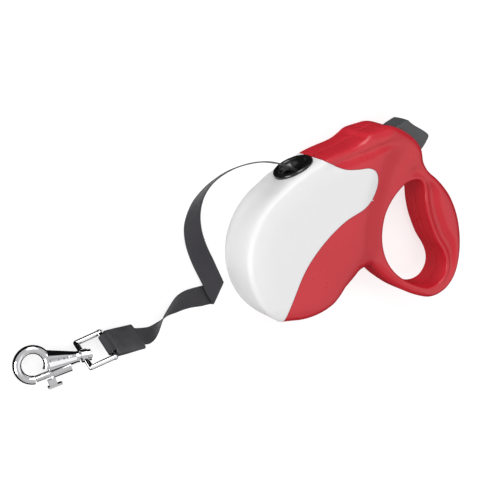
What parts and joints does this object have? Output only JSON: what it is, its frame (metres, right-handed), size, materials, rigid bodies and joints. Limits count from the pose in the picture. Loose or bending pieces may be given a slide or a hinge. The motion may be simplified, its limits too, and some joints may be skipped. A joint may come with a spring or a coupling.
{
  "type": "retractable tape leash",
  "caption": "Retractable tape leash with a round spring-drum casing, hand grip, brake button with lock, woven tape and swivel snap hook.",
  "frame": {"origin": "centre of the casing and grip's bounding box, on the surface that the right side lies on", "axes": "+X back towards the hand grip, +Y up towards the brake button, +Z from the right side to the left side"},
  "size_m": [0.3479, 0.1654, 0.042],
  "materials": {
    "red_plastic": "satin moulded",
    "white_plastic": "satin moulded",
    "black_plastic": "polished",
    "steel": "plain",
    "natural_plastic": "moulded",
    "grey_plastic": "moulded",
    "spring_steel": "blued",
    "tape": "woven",
    "button_plastic": "moulded",
    "leather": "smooth",
    "chrome": "polished"
  },
  "bodies": {
    "casing": {"left_shell": "red_plastic", "right_shell": "red_plastic", "front_cover": "white_plastic", "tape_guide_ring": "black_plastic", "housing_screws": "steel", "drum_axle": "steel", "inner_tape": "tape", "free_tape": "tape", "tape_loop": "tape", "leather_sleeve": "leather"},
    "drum": {"drum": "natural_plastic", "toothed_flange": "natural_plastic", "spring_cover": "grey_plastic", "mainspring": "spring_steel", "tape_roll": "tape", "tape_anchor_pin": "steel"},
    "brake": {"brake_slide": "grey_plastic", "brake_spring": "spring_steel"},
    "button": {"brake_button": "button_plastic", "lock_leaf": "steel"},
    "eye": {"hook_eye": "chrome"},
    "hook": {"hook_body": "chrome", "swivel_washer": "chrome", "bolt_spring": "spring_steel"},
    "bolt": {"hook_bolt": "chrome", "thumb_tab": "chrome"}
  },
  "joints": [
    {"name": "drum_spin", "type": "hinge", "parent": "casing", "child": "drum", "pos_m": [-0.0459, -0.0155, 0.021], "axis": [0, 0, 1], "continuous": true},
    {"name": "brake_press", "type": "slide", "parent": "casing", "child": "brake", "axis": [-0.7071, -0.7071, 0], "range_m": [0, 0.0032], "stiffness_N_per_m": 800},
    {"name": "brake_lock", "type": "slide", "parent": "brake", "child": "button", "axis": [-0.891, 0.454, 0], "range_m": [0, 0.006]},
    {"name": "eye_pivot", "type": "hinge", "parent": "casing", "child": "eye", "pos_m": [-0.18969, -0.07082, 0.01367], "axis": [0.1468, -0.5681, 0.8097], "range_deg": [-60, 40]},
    {"name": "hook_swivel", "type": "hinge", "parent": "eye", "child": "hook", "pos_m": [-0.2065, -0.0761, 0.0133], "axis": [-0.9779, -0.0856, -0.1908], "continuous": true},
    {"name": "bolt_slide", "type": "slide", "parent": "hook", "child": "bolt", "axis": [0.9485, 0.2727, 0.1612], "range_m": [0, 0.0085], "stiffness_N_per_m": 300}
  ]
}
